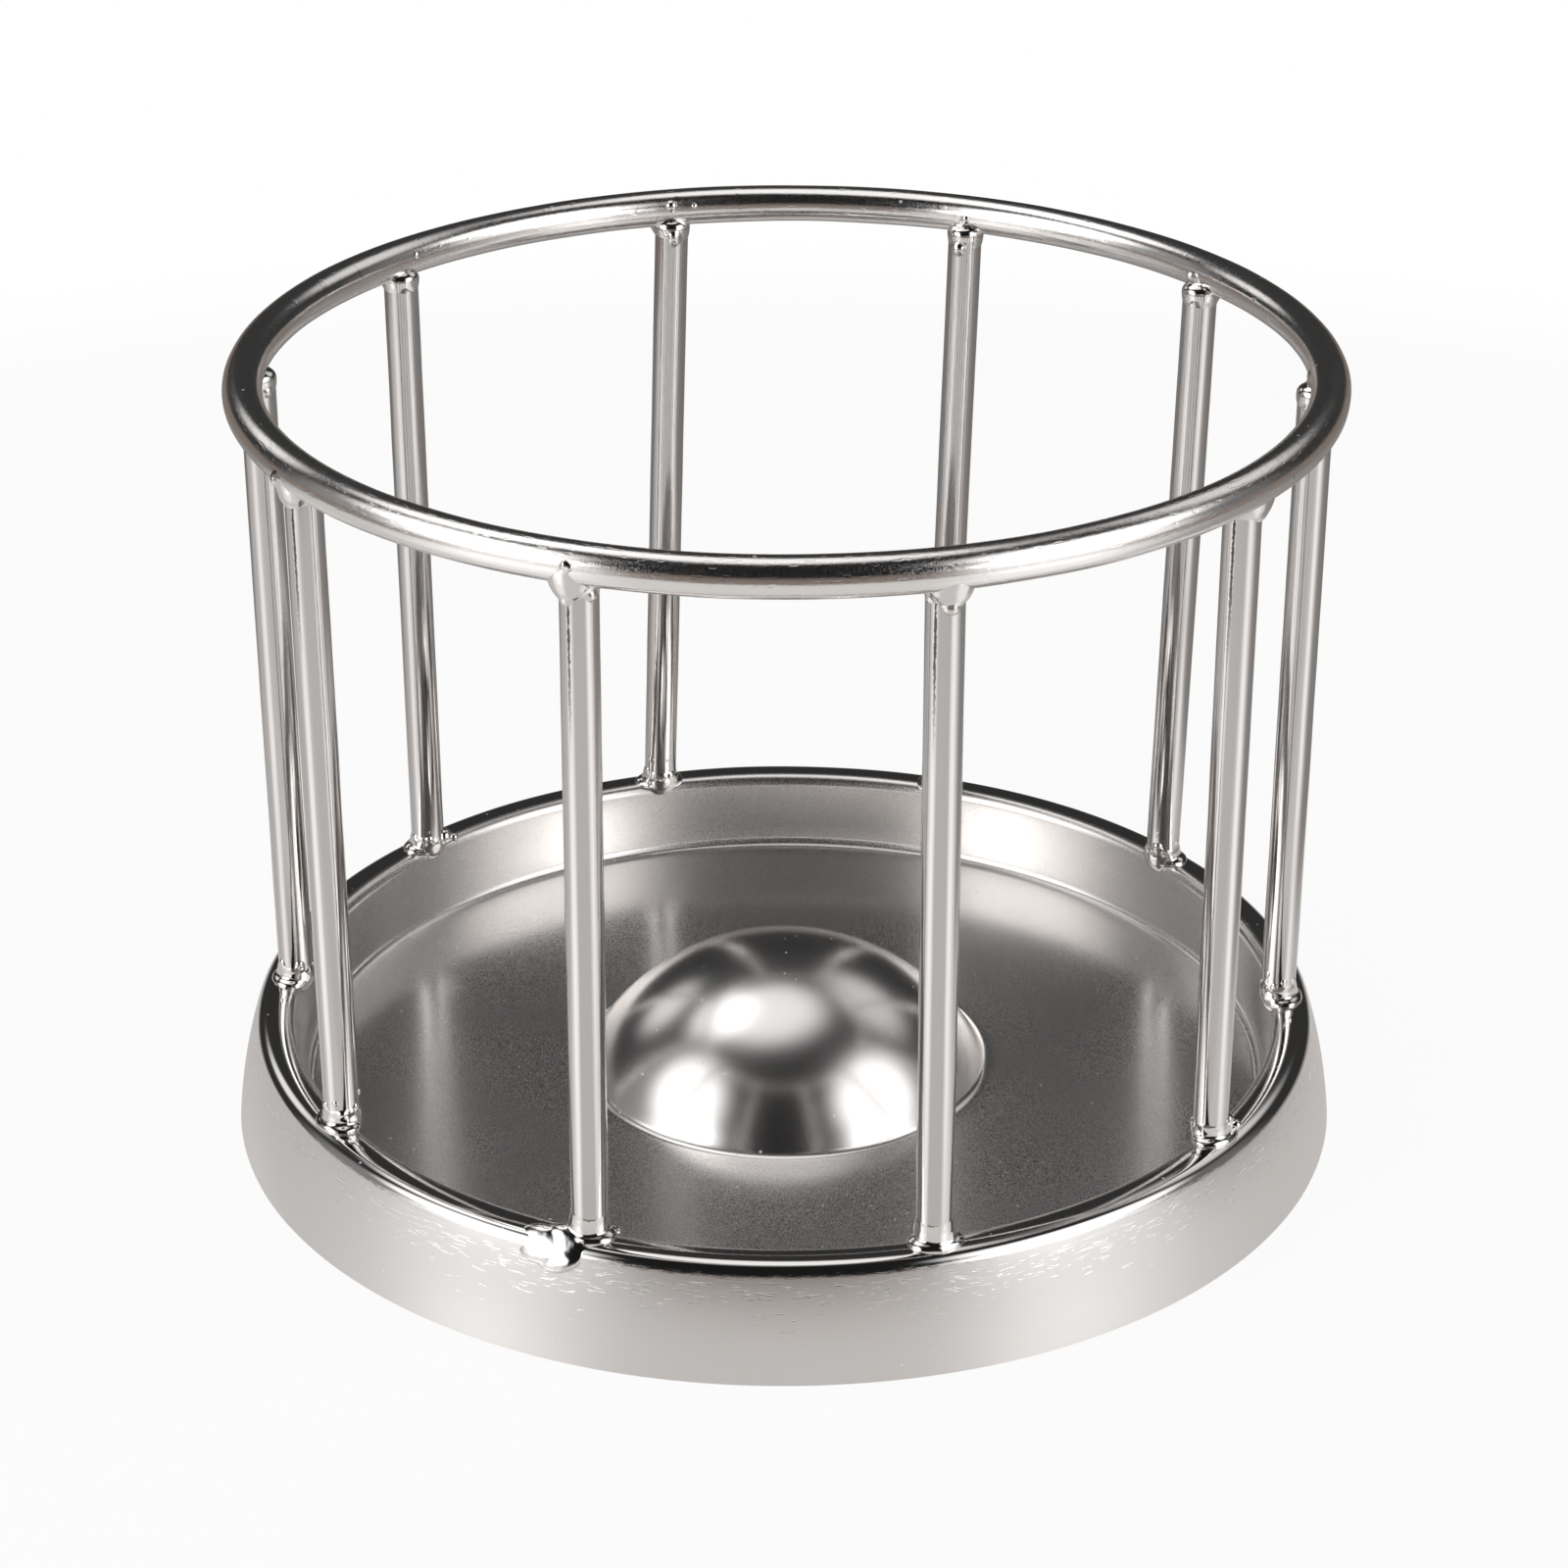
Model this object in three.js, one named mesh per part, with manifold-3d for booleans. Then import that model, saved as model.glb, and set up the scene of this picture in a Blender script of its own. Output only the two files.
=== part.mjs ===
// A reptile feeding dish in stainless steel: one pressed dish with a domed floor, a polished
// flat-crowned rim and a flared skirt, and a welded wire cage of round posts under a top ring.
// Millimetres, +Z up. The origin is on the table, under the middle of the dish, and the front
// of the dish faces -Y.
import * as THREE from "three";
import { mergeVertices } from "three/addons/utils/BufferGeometryUtils.js";
import Module from "manifold-3d";

const wasm = await Module();
wasm.setup();

// Wire cage
const ringWire = 4.0; // diameter of the top ring's wire
const postWire = 3.7; // diameter of the posts' wire
const cageRadius = 54.3; // to the middle of the ring wire, the posts and the crown of the rim
const cageHeight = 84.4; // table to the top of the ring
const postCount = 10;
const firstPostAngle = -20.4; // degrees round from the front, towards +X

// Pressed dish
const sheetThickness = 0.8;
const rimHeight = 11.9; // table to the crown of the rim
const crownWidth = 1.4; // flat land along the crown
const rimRoll = 1.3; // outside radius from the crown into the inner wall
const shoulderRoll = 2.0; // outside radius from the crown into the skirt
const skirtFlare = 4.5; // how far the foot of the skirt stands out past the middle of the crown
const skirtCurve = 50.0; // radius of the skirt's slight outward belly
const floorHeight = 3.4; // table to the feeding floor
const floorFillet = 1.1; // between the floor and the inner wall
const domeRadius = 22.4; // foot of the dome on the floor
const domeHeight = 12.7; // above the floor
const domeFillet = 1.2; // between the dome and the floor

// Welds
const weldGap = 0.3; // between a wire's end, its seat and the weld metal round them
const weldLip = 0.35; // thickness of a weld where it thins out on the post
const weldFlare = 0.9; // thickness of a weld where it spreads on the ring or the rim
const saddleDrop = 2.2; // how far a top weld runs down its post
const saddleWrap = 1.7; // how far a top weld climbs up the sides of the ring
const footClimb = 3.4; // how far a foot weld climbs up its post
const footWrap = 1.5; // how far a foot weld laps down the sides of the rim

// Facets
const dishSides = 60;
const ringSides = 60;
const wireSides = 12;
const domeSteps = 6;
const filletSteps = 2;
const rollSteps = 3;
const skirtSteps = 2;
const weldSteps = 3;

const ringLevel = cageHeight - ringWire / 2;
const ringUnderside = cageHeight - ringWire;
const postFoot = rimHeight + weldGap;
const postHead = ringUnderside - weldGap;

// Points of a round stretch of outline, from one angle to another.
function arc(centre, radius, from, to, steps) {
  return Array.from({ length: steps + 1 }, (_, step) => {
    const angle = from + ((to - from) * step) / steps;
    return new THREE.Vector2(
      centre.x + radius * Math.cos(angle),
      centre.y + radius * Math.sin(angle),
    );
  });
}

// A solid of revolution round +Z, from an outline of (radius, height) points.
function turned(outline, sides) {
  return new THREE.LatheGeometry(outline, sides).rotateX(Math.PI / 2);
}

// The centres and tangent angles that every skin of the pressed sheet shares. The dome is a
// ball cap that runs into the floor through its fillet. The skirt is a wide arc that carries
// on from the shoulder and ends on the table.
const domeReach = (domeRadius ** 2 + domeHeight ** 2) / (2 * domeHeight);
const domeBall = domeReach - domeFillet;
const domeCentre = new THREE.Vector2(0, floorHeight + domeHeight - domeBall);
const domeFilletCentre = new THREE.Vector2(domeRadius, floorHeight + domeFillet);
const domeTangent = Math.atan2(domeFilletCentre.y - domeCentre.y, domeRadius);

const rimCentre = new THREE.Vector2(cageRadius - crownWidth / 2, rimHeight - rimRoll);
const shoulderCentre = new THREE.Vector2(cageRadius + crownWidth / 2, rimHeight - shoulderRoll);
const wallRadius = rimCentre.x - rimRoll;
const floorFilletCentre = new THREE.Vector2(wallRadius - floorFillet, floorHeight + floorFillet);

const skirtEnd = new THREE.Vector2(cageRadius + skirtFlare, 0);
const toSkirtEnd = skirtEnd.clone().sub(shoulderCentre);
const skirtReach = skirtCurve - shoulderRoll;
const skirtTurn = Math.acos(
  (toSkirtEnd.lengthSq() + skirtReach ** 2 - skirtCurve ** 2) / (2 * toSkirtEnd.length() * skirtReach),
);
const skirtTangent = Math.atan2(toSkirtEnd.y, toSkirtEnd.x) - skirtTurn + Math.PI;
const skirtCentre = new THREE.Vector2(
  shoulderCentre.x - skirtReach * Math.cos(skirtTangent),
  shoulderCentre.y - skirtReach * Math.sin(skirtTangent),
);

// One skin of the sheet, from the axis out to the table, a given depth under the top skin.
function sheetSkin(depth) {
  const skirtBend = skirtCurve - depth;
  const tableAngle = -Math.asin(skirtCentre.y / skirtBend);
  const quarter = Math.PI / 2;
  return [
    ...arc(domeCentre, domeBall - depth, quarter, domeTangent, domeSteps),
    ...arc(domeFilletCentre, domeFillet + depth, domeTangent + Math.PI, 3 * quarter, filletSteps).slice(1),
    ...arc(floorFilletCentre, floorFillet + depth, -quarter, 0, filletSteps),
    ...arc(rimCentre, rimRoll - depth, 2 * quarter, quarter, rollSteps),
    ...arc(shoulderCentre, shoulderRoll - depth, quarter, skirtTangent, rollSteps),
    ...arc(skirtCentre, skirtBend, skirtTangent, tableAngle, skirtSteps).slice(1),
  ];
}

// Boolean work on closed meshes.
function solidOf(geometry) {
  const bare = geometry.clone();
  bare.deleteAttribute("normal");
  bare.deleteAttribute("uv");
  const merged = mergeVertices(bare);
  return new wasm.Manifold(new wasm.Mesh({
    numProp: 3,
    vertProperties: Float32Array.from(merged.attributes.position.array),
    triVerts: Uint32Array.from(merged.index.array),
  }));
}

function geometryOf(solid) {
  const mesh = solid.getMesh();
  const geometry = new THREE.BufferGeometry();
  geometry.setAttribute("position", new THREE.BufferAttribute(mesh.vertProperties, 3));
  geometry.setIndex(new THREE.BufferAttribute(mesh.triVerts, 1));
  geometry.computeVertexNormals();
  return geometry;
}

// The pressed sheet: its top skin out to the table and its underside back to the axis.
function dishGeometry() {
  const outline = [...sheetSkin(0), ...sheetSkin(sheetThickness).reverse()];
  return turned(outline.reverse(), dishSides);
}

// A ring of round wire at the top of the cage, of a given wire radius.
function ringGeometry(radius) {
  const middle = new THREE.Vector2(cageRadius, ringLevel);
  return turned(arc(middle, radius, 0, 2 * Math.PI, wireSides), ringSides);
}

// The rim with a clear skin of weldGap over it, as a solid to cut the foot welds with.
function rimCutter() {
  const skin = sheetSkin(-weldGap).filter((point) => point.x > wallRadius - rimRoll);
  const outline = [...skin, new THREE.Vector2(skin[0].x, 0), skin[0]];
  return solidOf(turned(outline.reverse(), dishSides));
}

// Stands a piece that is modelled round its own post's axis at that post's place.
function atPost(geometry, angle) {
  return geometry.translate(0, -cageRadius, 0).rotateZ(angle);
}

function postGeometry(angle) {
  const height = postHead - postFoot;
  const rod = new THREE.CylinderGeometry(postWire / 2, postWire / 2, height, wireSides);
  return atPost(rod.rotateX(Math.PI / 2).translate(0, 0, postFoot + height / 2), angle);
}

// A weld is a collar round its post: a thin lip on the post, a hollow flank that flares out to the
// seat, and an edge that wraps past the seat and thins out again. Levels run from the lip to the edge.
function collarGeometry(lipLevel, seatLevel, edgeLevel, angle) {
  const bore = postWire / 2 + weldGap;
  const outline = [new THREE.Vector2(bore, lipLevel)];
  for (let step = 0; step <= weldSteps; step += 1) {
    const share = (step + 1) / (weldSteps + 1);
    const thickness = weldLip + (weldFlare - weldLip) * share ** 2;
    outline.push(new THREE.Vector2(bore + thickness, lipLevel + (seatLevel - lipLevel) * share));
  }
  outline.push(new THREE.Vector2(bore + weldLip, edgeLevel));
  outline.push(new THREE.Vector2(bore, edgeLevel));
  outline.push(outline[0]);
  const climbs = edgeLevel > lipLevel;
  return atPost(turned(climbs ? outline : outline.reverse(), wireSides), angle);
}

const ringClear = solidOf(ringGeometry(ringWire / 2 + weldGap));
const rimClear = rimCutter();

function saddleWeldGeometry(angle) {
  const lipLevel = ringUnderside - saddleDrop;
  const collar = collarGeometry(lipLevel, ringUnderside, ringUnderside + saddleWrap, angle);
  return geometryOf(solidOf(collar).subtract(ringClear));
}

function footWeldGeometry(angle) {
  const collar = collarGeometry(rimHeight + footClimb, rimHeight, rimHeight - footWrap, angle);
  return geometryOf(solidOf(collar).subtract(rimClear));
}

const dish = new THREE.Group();

function addPiece(name, geometry, colour, roughness) {
  const material = new THREE.MeshStandardMaterial({ color: colour, roughness, metalness: 1.0 });
  const mesh = new THREE.Mesh(geometry, material);
  mesh.name = name;
  dish.add(mesh);
}

const satinColour = 0xb5b0ac;
const satinRoughness = 0.35;
const polishedColour = 0xc9c5c1;
const polishedRoughness = 0.18;
const weldColour = 0xd2cecb;
const weldRoughness = 0.12;

addPiece("dish", dishGeometry(), satinColour, satinRoughness);
addPiece("top_ring", ringGeometry(ringWire / 2), polishedColour, polishedRoughness);

for (let index = 0; index < postCount; index += 1) {
  const angle = THREE.MathUtils.degToRad(firstPostAngle + (index * 360) / postCount);
  const number = String(index + 1).padStart(2, "0");
  addPiece(`post_${number}`, postGeometry(angle), polishedColour, polishedRoughness);
  addPiece(`top_weld_${number}`, saddleWeldGeometry(angle), weldColour, weldRoughness);
  addPiece(`foot_weld_${number}`, footWeldGeometry(angle), weldColour, weldRoughness);
}

export default dish;
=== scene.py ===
# %% [markdown]
# # A reptile feeding dish in stainless steel
# The dish is pressed from one sheet and carries a welded cage of round wire. The imported frame holds
# every piece at its real size, so this notebook only gives the pieces their fine shapes and their
# finishes. We begin by loading the frame.

# %% Load the frame
import math
import random

import bpy
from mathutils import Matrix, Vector


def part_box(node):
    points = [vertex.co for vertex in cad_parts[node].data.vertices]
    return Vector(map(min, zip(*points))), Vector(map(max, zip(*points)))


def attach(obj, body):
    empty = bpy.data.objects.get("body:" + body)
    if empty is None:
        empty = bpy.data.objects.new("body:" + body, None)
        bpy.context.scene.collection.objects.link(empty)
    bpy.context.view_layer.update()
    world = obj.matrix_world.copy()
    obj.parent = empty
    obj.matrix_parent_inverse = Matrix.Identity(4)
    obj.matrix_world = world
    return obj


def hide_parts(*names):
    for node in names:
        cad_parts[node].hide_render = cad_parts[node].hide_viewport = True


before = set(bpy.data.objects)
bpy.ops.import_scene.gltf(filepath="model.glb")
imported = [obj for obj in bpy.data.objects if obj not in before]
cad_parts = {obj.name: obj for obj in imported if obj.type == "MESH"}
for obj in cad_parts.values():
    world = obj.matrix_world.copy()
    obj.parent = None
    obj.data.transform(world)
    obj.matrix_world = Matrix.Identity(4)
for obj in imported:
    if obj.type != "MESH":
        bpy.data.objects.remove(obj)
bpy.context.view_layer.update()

# %% [markdown]
# ## Sizes
# Blender works in metres. What the frame can tell is read from it: the ring gives its wire and the
# cage, a post gives the height of the rim, and the dish gives its skirt and its dome. A box says
# nothing about bends, so those are written down. Most repeat the construction. Three are finer
# than in the frame, because bright metal shows each bend in its mirror images: the shoulder is
# tighter, the crown is slightly domed and the inner wall leans in.

# %% Sizes from the frame
MM = 0.001
WELD_GAP = 0.3 * MM
ring_low, ring_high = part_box("top_ring")
ring_wire_radius = (ring_high.z - ring_low.z) / 2
ring_level = (ring_high.z + ring_low.z) / 2
ring_underside = ring_low.z
cage_radius = ring_high.x - ring_wire_radius
post_low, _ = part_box("post_01")
rim_height = post_low.z - WELD_GAP
_, dish_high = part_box("dish")
skirt_radius = dish_high.x
dome_top = dish_high.z
post_names = sorted(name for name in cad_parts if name.startswith("post_"))
print("ring wire", ring_wire_radius * 2, "cage", cage_radius, "posts", len(post_names))

# %% Bends of the pressed sheet
SHEET = 0.8 * MM
CROWN = 1.4 * MM
CROWN_TILT = math.radians(8)
RIM_ROLL = 1.3 * MM
SHOULDER_ROLL = 1.7 * MM
SKIRT_CURVE = 50.0 * MM
WALL_DRAFT = math.radians(6)
FLOOR_HEIGHT = 3.4 * MM
FLOOR_FILLET = 1.1 * MM
DOME_RADIUS = 22.4 * MM
DOME_FILLET = 1.2 * MM
wall_radius = cage_radius - CROWN / 2 - RIM_ROLL
print("inner wall at", round(wall_radius, 4))


# %% [markdown]
# ## Helpers
# Operators act on whatever is selected, so every step starts from a clean selection. A finished
# piece has its place in its mesh, rides on the frame's one body and stands for its node.

# %% Selection and finishing helpers
def clear_selection():
    bpy.ops.object.select_all(action="DESELECT")


def only(piece):
    clear_selection()
    piece.select_set(True)
    bpy.context.view_layer.objects.active = piece


def edit(piece, mode="VERT"):
    only(piece)
    bpy.ops.object.mode_set(mode="EDIT")
    bpy.ops.mesh.select_mode(type=mode)
    bpy.ops.mesh.select_all(action="SELECT")


def leave_edit():
    bpy.ops.object.mode_set(mode="OBJECT")


def apply_modifier(piece, kind, **values):
    only(piece)
    modifier = piece.modifiers.new(kind.lower(), kind)
    for key, value in values.items():
        setattr(modifier, key, value)
    bpy.ops.object.modifier_apply(modifier=modifier.name)


def settle(piece):
    only(piece)
    bpy.ops.object.transform_apply(location=True, rotation=True, scale=True)


def finish_piece(piece, name, node, material):
    settle(piece)
    piece.name = name
    piece.data.name = name
    piece.data.materials.clear()
    piece.data.materials.append(material)
    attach(piece, "root")
    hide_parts(node)


# %% [markdown]
# ## Camera
# The picture was taken from a little above the rim with a long lens. The lens and place come from
# fitting the circles of the ring, rim and skirt, so the camera needs no shift.

# %% Camera
CAMERA_ELEVATION = math.radians(25.6)
CAMERA_DISTANCE = 433.4 * MM
CAMERA_AIM = Vector((0, 0, 36.06 * MM))
CLIP_START = 10 * MM
SENSOR = 36.0
LENS = 94.5

camera_data = bpy.data.cameras.new("camera")
camera_data.sensor_width = SENSOR
camera_data.lens = LENS
camera_data.clip_start = CLIP_START
camera = bpy.data.objects.new("camera", camera_data)
bpy.context.scene.collection.objects.link(camera)
to_camera = Vector((0, -math.cos(CAMERA_ELEVATION), math.sin(CAMERA_ELEVATION)))
camera.location = CAMERA_AIM + to_camera * CAMERA_DISTANCE
camera.rotation_euler = (-to_camera).to_track_quat("-Z", "Y").to_euler()
bpy.context.scene.camera = camera
print("camera at", [round(c, 4) for c in camera.location])


# %% [markdown]
# ## Shader node helpers
# A material could be wired by hand in the shader editor. Written down, the wiring gets long, so a
# few short helpers keep it readable: one adds a node, one plugs in a number or a link, and the rest
# are the sums, blends and patterns that every finish here is made of.

# %% Node helpers
def add_node(tree, kind, **values):
    node = tree.nodes.new(kind)
    for key, value in values.items():
        setattr(node, key, value)
    return node


def plug(tree, socket, value):
    if isinstance(value, (int, float, tuple)):
        socket.default_value = value
    else:
        tree.links.new(value, socket)


def separate(tree, vector):
    node = add_node(tree, "ShaderNodeSeparateXYZ")
    tree.links.new(vector, node.inputs[0])
    return node.outputs


# %% Sums
def math_node(tree, operation, first, second=None, clamp=False):
    node = add_node(tree, "ShaderNodeMath", operation=operation, use_clamp=clamp)
    plug(tree, node.inputs[0], first)
    if second is not None:
        plug(tree, node.inputs[1], second)
    return node.outputs[0]


def plus(tree, first, second):
    return math_node(tree, "ADD", first, second)


def minus(tree, first, second):
    return math_node(tree, "SUBTRACT", first, second)


def times(tree, first, second):
    return math_node(tree, "MULTIPLY", first, second)


def centred(tree, value, size):
    return times(tree, minus(tree, value, 0.5), size)


# %% Blends and patterns
def opaque(red, green, blue):
    return (red, green, blue, 1.0)


def blend(tree, share, first, second):
    node = add_node(tree, "ShaderNodeMix")
    plug(tree, node.inputs["Factor"], share)
    plug(tree, node.inputs["A"], first)
    plug(tree, node.inputs["B"], second)
    return node.outputs["Result"]


# The Mix node's two colours are its sockets 6 and 7, and their result is its third output.
def blend_colour(tree, share, first, second):
    node = add_node(tree, "ShaderNodeMix", data_type="RGBA")
    plug(tree, node.inputs[0], share)
    plug(tree, node.inputs[6], first)
    plug(tree, node.inputs[7], second)
    return node.outputs[2]


def noise(tree, vector, scale, detail=3.0, roughness=0.55):
    node = add_node(tree, "ShaderNodeTexNoise")
    plug(tree, node.inputs["Scale"], scale)
    node.inputs["Detail"].default_value = detail
    node.inputs["Roughness"].default_value = roughness
    tree.links.new(vector, node.inputs["Vector"])
    return node.outputs["Fac"]


def spread(tree, value, low, high, out_low=0.0, out_high=1.0):
    node = add_node(tree, "ShaderNodeMapRange", interpolation_type="SMOOTHSTEP")
    tree.links.new(value, node.inputs["Value"])
    node.inputs["From Min"].default_value = low
    node.inputs["From Max"].default_value = high
    node.inputs["To Min"].default_value = out_low
    node.inputs["To Max"].default_value = out_high
    return node.outputs["Result"]


# %% Group helpers
FLOAT = "NodeSocketFloat"
VECTOR = "NodeSocketVector"


def new_group(name, inputs, outputs):
    group = bpy.data.node_groups.new(name, "ShaderNodeTree")
    for socket, kind, value in inputs:
        made = group.interface.new_socket(name=socket, in_out="INPUT", socket_type=kind)
        if value is not None:
            made.default_value = value
    for socket, kind in outputs:
        group.interface.new_socket(name=socket, in_out="OUTPUT", socket_type=kind)
    entry = group.nodes.new("NodeGroupInput").outputs
    leave = group.nodes.new("NodeGroupOutput").inputs
    return group, entry, leave


def place_group(tree, group, **values):
    node = add_node(tree, "ShaderNodeGroup", node_tree=group)
    for key, value in values.items():
        plug(tree, node.inputs[key.replace("_", " ")], value)
    return node.outputs


# %% [markdown]
# ## Shared effects
# Turned and pressed steel is marked in circles, so a first group turns object coordinates into
# distance from the axis and direction round it. The direction is kept as a point on a circle,
# which has no seam.

# %% Group: round coordinates
SMALLEST_RADIUS = 0.01 * MM


def make_round_coordinates():
    group, entry, leave = new_group(
        "round_coordinates",
        [("Place", VECTOR, None), ("Turn scale", FLOAT, 1.0), ("Line scale", FLOAT, 1000.0)],
        [("Radius", FLOAT), ("Height", FLOAT), ("Lines", VECTOR)],
    )
    x, y, z = separate(group, entry["Place"])
    square = plus(group, math_node(group, "POWER", x, 2.0), math_node(group, "POWER", y, 2.0))
    radius = math_node(group, "SQRT", square)
    safe = math_node(group, "MAXIMUM", radius, SMALLEST_RADIUS)
    join = add_node(group, "ShaderNodeCombineXYZ")
    for flat, socket in ((x, join.inputs[0]), (y, join.inputs[1])):
        direction = math_node(group, "DIVIDE", flat, safe)
        group.links.new(times(group, direction, entry["Turn scale"]), socket)
    section = minus(group, radius, z)
    group.links.new(times(group, section, entry["Line scale"]), join.inputs[2])
    group.links.new(radius, leave["Radius"])
    group.links.new(z, leave["Height"])
    group.links.new(join.outputs[0], leave["Lines"])
    return group


# %% [markdown]
# Every finish has the same kinds of fine marks: scratches and single dashes that follow the working
# of the metal, cloudy blotches and a fine grain. A second group makes them from a line vector and a
# place.

# %% Group: fine marks on metal
def make_fine_marks():
    group, entry, leave = new_group(
        "fine_marks",
        [("Lines", VECTOR, None), ("Place", VECTOR, None), ("Blotch scale", FLOAT, 60.0),
         ("Grain scale", FLOAT, 2600.0)],
        [("Scratch", FLOAT), ("Dash", FLOAT), ("Blotch", FLOAT), ("Grain", FLOAT)],
    )
    lines, place = entry["Lines"], entry["Place"]
    group.links.new(noise(group, lines, 1.0, detail=4.0, roughness=0.7), leave["Scratch"])
    group.links.new(noise(group, lines, 0.6, detail=1.0), leave["Dash"])
    group.links.new(noise(group, place, entry["Blotch scale"]), leave["Blotch"])
    group.links.new(noise(group, place, entry["Grain scale"], detail=2.0), leave["Grain"])
    return group


# %% [markdown]
# Bare steel on a table catches dust and carries tiny pits. Cells of a Voronoi texture give each
# speck its place, the cell's own random colour decides whether it is there and how large it is.

# %% Group: specks
def make_specks():
    group, entry, leave = new_group(
        "specks",
        [("Place", VECTOR, None), ("Cell scale", FLOAT, 400.0), ("Share", FLOAT, 0.3),
         ("Size", FLOAT, 0.1)],
        [("Mask", FLOAT)],
    )
    cells = add_node(group, "ShaderNodeTexVoronoi")
    group.links.new(entry["Place"], cells.inputs["Vector"])
    group.links.new(entry["Cell scale"], cells.inputs["Scale"])
    chance = add_node(group, "ShaderNodeSeparateColor")
    group.links.new(cells.outputs["Color"], chance.inputs[0])
    there = math_node(group, "LESS_THAN", chance.outputs[0], entry["Share"])
    reach = times(group, chance.outputs[1], entry["Size"])
    inside = math_node(group, "LESS_THAN", cells.outputs["Distance"], reach)
    group.links.new(times(group, there, inside), leave["Mask"])
    return group


round_coordinates = make_round_coordinates()
fine_marks = make_fine_marks()
specks = make_specks()
print("groups", [group.name for group in bpy.data.node_groups])


# %% [markdown]
# ## Bare steel
# Every piece is bare stainless steel. Paint or lacquer would need a coat over a base, but bare
# metal is one Principled BSDF with Metallic at 1, and its colour is the tint of its mirror image.
# What tells the pieces apart is their roughness and their fine bumps, so each finish starts from
# this base and plugs its own patterns into it.

# %% Steel base
def steel(name, colour):
    material = bpy.data.materials.new(name)
    material.use_nodes = True
    tree = material.node_tree
    tree.nodes.clear()
    shader = add_node(tree, "ShaderNodeBsdfPrincipled")
    shader.inputs["Base Color"].default_value = colour
    shader.inputs["Metallic"].default_value = 1.0
    output = add_node(tree, "ShaderNodeOutputMaterial")
    tree.links.new(shader.outputs[0], output.inputs["Surface"])
    place = add_node(tree, "ShaderNodeTexCoord").outputs["Object"]
    return material, tree, shader, place


def bump(tree, shader, height, distance):
    node = add_node(tree, "ShaderNodeBump")
    node.inputs["Distance"].default_value = distance
    tree.links.new(height, node.inputs["Height"])
    tree.links.new(node.outputs["Normal"], shader.inputs["Normal"])


# %% [markdown]
# ## Finish of the pressed sheet
# The floor, the dome and the skirt are satin, the crown of the rim and its shoulder are polished
# bright. Each could have a material of its own, with the sheet cut up between them. Here one
# material covers the whole sheet and reads from the radius and height of a point where it is, so
# one finish runs into the next as it does under a polishing wheel.

# %% Places on the sheet
CROWN_BORDER = (cage_radius - 1.0 * MM, cage_radius - 0.5 * MM)
WALL_BORDER = (wall_radius - 1.3 * MM, wall_radius - 0.5 * MM)
DOME_BORDER = (DOME_RADIUS - 1.0 * MM, DOME_RADIUS + 1.0 * MM)


def sheet_zones(tree, radius):
    outside = spread(tree, radius, *CROWN_BORDER)
    on_wall = spread(tree, radius, *WALL_BORDER)
    on_dome = spread(tree, radius, *DOME_BORDER, 1.0, 0.0)
    return outside, on_wall, on_dome


def by_zone(tree, zones, values):
    outside, on_wall, on_dome = zones
    level = blend(tree, on_dome, values["floor"], values["dome"])
    inside = blend(tree, on_wall, level, values["wall"])
    return blend(tree, outside, inside, values["skirt"])


# %% [markdown]
# Handling has scratched the skirt along the circle, most of all just under the polish. A scratch is
# where the Dash noise, stretched along the circle, rises over a limit, and the limit falls with
# height. The lines wander up and down a little, as a hand does. Besides their roughness and bump, the
# scratches are painted lighter in the colour as a painted glint.

# %% Scratches on the skirt
SCRATCH_TURNS = 44.0
SCRATCH_LINES = 8000.0
WANDER_SCALE = 140.0
WANDER = 2.2 * MM
FEW_AT, MANY_AT = 4.0 * MM, 10.0 * MM
FEW_LIMIT, MANY_LIMIT = 0.76, 0.59
SCRATCH_EDGE = 14.0
FADE_FROM, FADE_TO = 9.9 * MM, 10.6 * MM


def scratch_lines(tree, place):
    wander = add_node(tree, "ShaderNodeCombineXYZ")
    tree.links.new(centred(tree, noise(tree, place, WANDER_SCALE), WANDER), wander.inputs[2])
    moved = add_node(tree, "ShaderNodeVectorMath", operation="ADD")
    tree.links.new(place, moved.inputs[0])
    tree.links.new(wander.outputs[0], moved.inputs[1])
    marks_at = place_group(tree, round_coordinates, Place=moved.outputs[0],
                           Turn_scale=SCRATCH_TURNS, Line_scale=SCRATCH_LINES)
    return marks_at["Lines"]


def skirt_scratches(tree, dash, height, outside):
    limit = spread(tree, height, FEW_AT, MANY_AT, FEW_LIMIT, MANY_LIMIT)
    over = math_node(tree, "MULTIPLY", minus(tree, dash, limit), SCRATCH_EDGE, clamp=True)
    under_crown = spread(tree, height, FADE_FROM, FADE_TO, 1.0, 0.0)
    return times(tree, times(tree, over, outside), under_crown)


# %% [markdown]
# The satin is bright metal with a share of matt grains, so it mirrors near things and blurs far
# ones. The dome is finer than the floor round it. The polish ends in a ragged line under the
# shoulder, and a little dust lies on everything.

# %% Pressed sheet material
SHEET_COLOUR = opaque(0.75, 0.727, 0.712)
# Colour of the painted glint on the skirt scratches.
PAINTED_GLINT_COLOUR = opaque(0.95, 0.94, 0.93)
SPECK_COLOUR = opaque(0.88, 0.87, 0.86)
SATIN = {"floor": 0.18, "dome": 0.21, "wall": 0.22, "skirt": 0.34}
MATT_GRAINS = {"floor": 0.30, "dome": 0.02, "wall": 0.12, "skirt": 0.0}
GRAIN_FROM, GRAIN_TO = 0.49, 0.58
POLISH_FROM, POLISH_TO = 10.6 * MM, 11.2 * MM
UNEVEN_LEVEL = 0.8 * MM
RAGGED_EDGE = 1.8 * MM
POLISHED = 0.08
SCRATCHED = 0.2
PAINTED_GLINT_SHARE = 0.7
DUSTY = 0.55
SKIRT_RUB = 0.2
POLISH_RUB = 0.3
SHEET_BUMP = 0.012 * MM


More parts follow.
